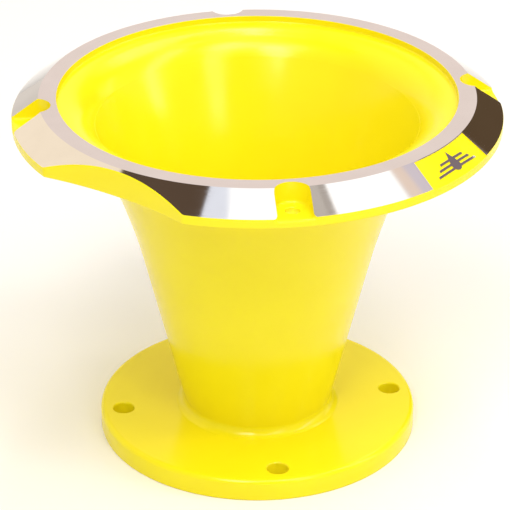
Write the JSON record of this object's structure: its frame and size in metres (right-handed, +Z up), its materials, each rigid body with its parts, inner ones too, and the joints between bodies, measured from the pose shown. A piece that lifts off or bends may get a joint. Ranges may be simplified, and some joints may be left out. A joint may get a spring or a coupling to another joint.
{
  "type": "flanged funnel",
  "caption": "Bell-mouth funnel with a bolt-down base flange and a thick bevelled rim with pockets, in glossy yellow powder coat with bare machined faces.",
  "frame": {"origin": "centre of the base flange's underside, which is the bottom centre of the whole part", "axes": "+Z up the funnel's axis, out of the mouth. The bolt holes and the rim's pockets lie on the X and Y axes, the scallop at 225 degrees from +X and the badge at 315 degrees."},
  "size_m": [0.1594, 0.1594, 0.1221],
  "materials": {
    "yellow_powder_coat": "glossy yellow powder coat over aluminium",
    "machined_aluminium": "bare turned face, fine tool lines, mirror-like on the bevel",
    "nitrile_rubber": "matt black moulded rubber"
  },
  "bodies": {
    "root": {"base_flange": "yellow_powder_coat", "cone_body": "yellow_powder_coat", "base_weld": "yellow_powder_coat", "rim_weld": "yellow_powder_coat", "badge_plate": "yellow_powder_coat", "rim_ring": "machined_aluminium", "badge_emblem": "machined_aluminium", "base_o_ring": "nitrile_rubber"}
  },
  "joints": []
}
